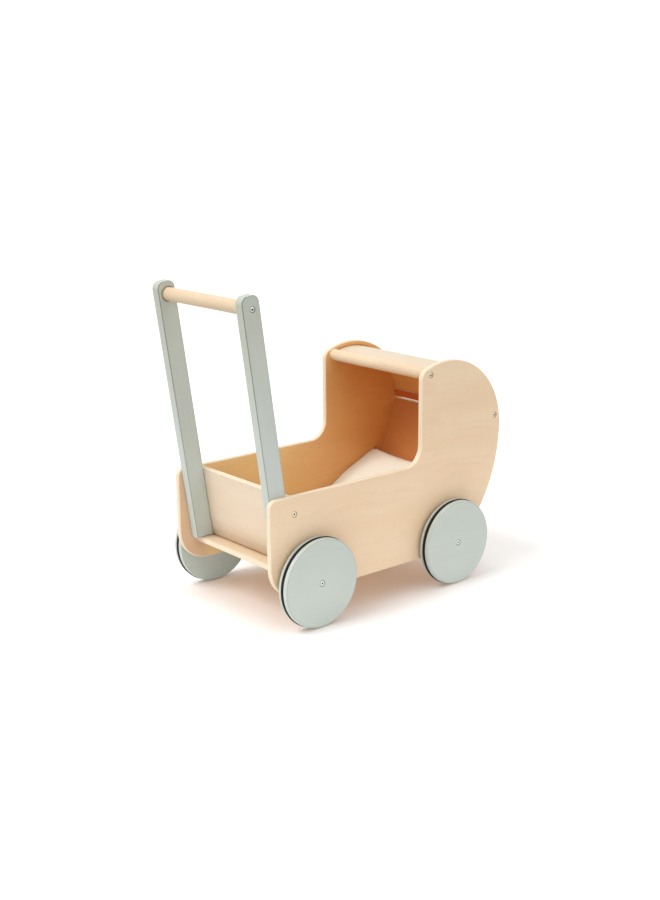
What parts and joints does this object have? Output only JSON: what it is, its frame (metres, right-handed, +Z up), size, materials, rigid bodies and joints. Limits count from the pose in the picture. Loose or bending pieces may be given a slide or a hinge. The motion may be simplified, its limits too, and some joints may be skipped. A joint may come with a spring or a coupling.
{
  "type": "doll stroller",
  "caption": "Plywood doll pram: two profiled side panels, a cradle under a bent-ply hood, a tilted push handle with a round grip, and solid wooden wheels with rubber rings.",
  "frame": {"origin": "on the floor, under the middle of the whole pram's box", "axes": "+X forwards, from the handle to the hood; +Y to the pram's left; +Z up"},
  "size_m": [0.4954, 0.279, 0.486],
  "materials": {
    "birch_ply": "sanded birch plywood under clear matt lacquer, with layered edges",
    "beech": "turned solid beech under clear matt lacquer",
    "sage_wood": "wood with a thin matt sage-grey stain through which the grain shows",
    "tyre_rubber": "matt black rubber cord",
    "screw_steel": "zinc-plated socket screws",
    "axle_steel": "bright drawn steel rod",
    "nylon": "natural nylon",
    "pillow_cotton": "plain-woven cream cotton"
  },
  "bodies": {
    "chassis": {"side_panel_left": "birch_ply", "side_panel_right": "birch_ply", "floor_board": "birch_ply", "rear_board": "birch_ply", "front_board": "birch_ply", "hood_roof": "birch_ply", "hood_nose_rail": "beech", "hood_front_batten": "birch_ply", "handle_bar_left": "sage_wood", "handle_bar_right": "sage_wood", "handle_grip": "beech", "grip_screws": "screw_steel", "nose_rail_screws": "screw_steel", "batten_screws": "screw_steel", "rear_board_screws": "screw_steel", "bar_screws": "screw_steel", "axle_rear": "axle_steel", "axle_front": "axle_steel", "axle_spacers": "nylon", "axle_screws": "screw_steel"},
    "rear_left_wheel": {"wheel_rear_left": "sage_wood", "tyre_rear_left": "tyre_rubber", "bush_rear_left": "nylon"},
    "rear_right_wheel": {"wheel_rear_right": "sage_wood", "tyre_rear_right": "tyre_rubber", "bush_rear_right": "nylon"},
    "front_left_wheel": {"wheel_front_left": "sage_wood", "tyre_front_left": "tyre_rubber", "bush_front_left": "nylon"},
    "front_right_wheel": {"wheel_front_right": "sage_wood", "tyre_front_right": "tyre_rubber", "bush_front_right": "nylon"},
    "loose_pillow": {"pillow": "pillow_cotton"}
  },
  "joints": [
    {"name": "rear_left_roll", "type": "hinge", "parent": "chassis", "child": "rear_left_wheel", "pos_m": [-0.1393, 0.1305, 0.0675], "axis": [0, 1, 0], "continuous": true},
    {"name": "rear_right_roll", "type": "hinge", "parent": "chassis", "child": "rear_right_wheel", "pos_m": [-0.1393, -0.1305, 0.0675], "axis": [0, 1, 0], "continuous": true},
    {"name": "front_left_roll", "type": "hinge", "parent": "chassis", "child": "front_left_wheel", "pos_m": [0.1357, 0.1305, 0.0675], "axis": [0, 1, 0], "continuous": true},
    {"name": "front_right_roll", "type": "hinge", "parent": "chassis", "child": "front_right_wheel", "pos_m": [0.1357, -0.1305, 0.0675], "axis": [0, 1, 0], "continuous": true},
    {"name": "pillow_lift", "type": "slide", "parent": "chassis", "child": "loose_pillow", "axis": [0, 0, 1], "range_m": [0, 0.09]}
  ]
}
